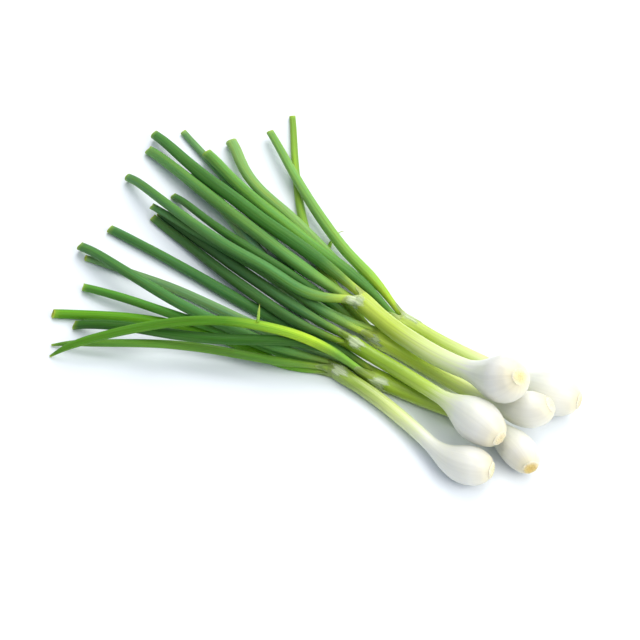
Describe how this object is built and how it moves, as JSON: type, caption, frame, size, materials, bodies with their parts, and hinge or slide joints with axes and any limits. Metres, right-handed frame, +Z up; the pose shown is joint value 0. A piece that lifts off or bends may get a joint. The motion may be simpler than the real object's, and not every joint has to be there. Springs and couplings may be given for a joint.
{
  "type": "spring onion bunch",
  "caption": "Loose bunch of trimmed spring onions lying flat: white bulbs and pale stems side by side, with green tubular leaves fanned out from the necks.",
  "frame": {"origin": "centre of the bunch's box, on the surface that it lies on", "axes": "+X from the leaf tips towards the bulbs, +Z up"},
  "size_m": [0.326, 0.235, 0.048],
  "materials": {
    "bulb_flesh": "glossy",
    "corky_plate": "matte",
    "papery_sheath": "satin",
    "leaf_blade": "satin",
    "young_shoot": "satin"
  },
  "bodies": {
    "root": {"bulb_1": "bulb_flesh", "bulb_2": "bulb_flesh", "bulb_3": "bulb_flesh", "bulb_4": "bulb_flesh", "bulb_5": "bulb_flesh", "bulb_6": "bulb_flesh", "root_plate_1": "corky_plate", "root_plate_2": "corky_plate", "root_plate_3": "corky_plate", "root_plate_4": "corky_plate", "root_plate_5": "corky_plate", "root_plate_6": "corky_plate", "collar_1": "papery_sheath", "collar_2": "papery_sheath", "collar_3": "papery_sheath", "collar_4": "papery_sheath", "collar_5": "papery_sheath", "collar_6": "papery_sheath", "leaf_1a": "leaf_blade", "leaf_1b": "leaf_blade", "leaf_1c": "leaf_blade", "leaf_2a": "leaf_blade", "leaf_2b": "leaf_blade", "leaf_2c": "leaf_blade", "leaf_3a": "leaf_blade", "leaf_3b": "leaf_blade", "leaf_3c": "leaf_blade", "leaf_3d": "leaf_blade", "leaf_4a": "leaf_blade", "leaf_4b": "leaf_blade", "leaf_4c": "leaf_blade", "leaf_4d": "leaf_blade", "leaf_5a": "leaf_blade", "leaf_5b": "leaf_blade", "leaf_5c": "leaf_blade", "leaf_5d": "leaf_blade", "leaf_6a": "leaf_blade", "leaf_6b": "leaf_blade", "leaf_6c": "leaf_blade", "sprout_1": "young_shoot", "sprout_2": "young_shoot"}
  },
  "joints": []
}
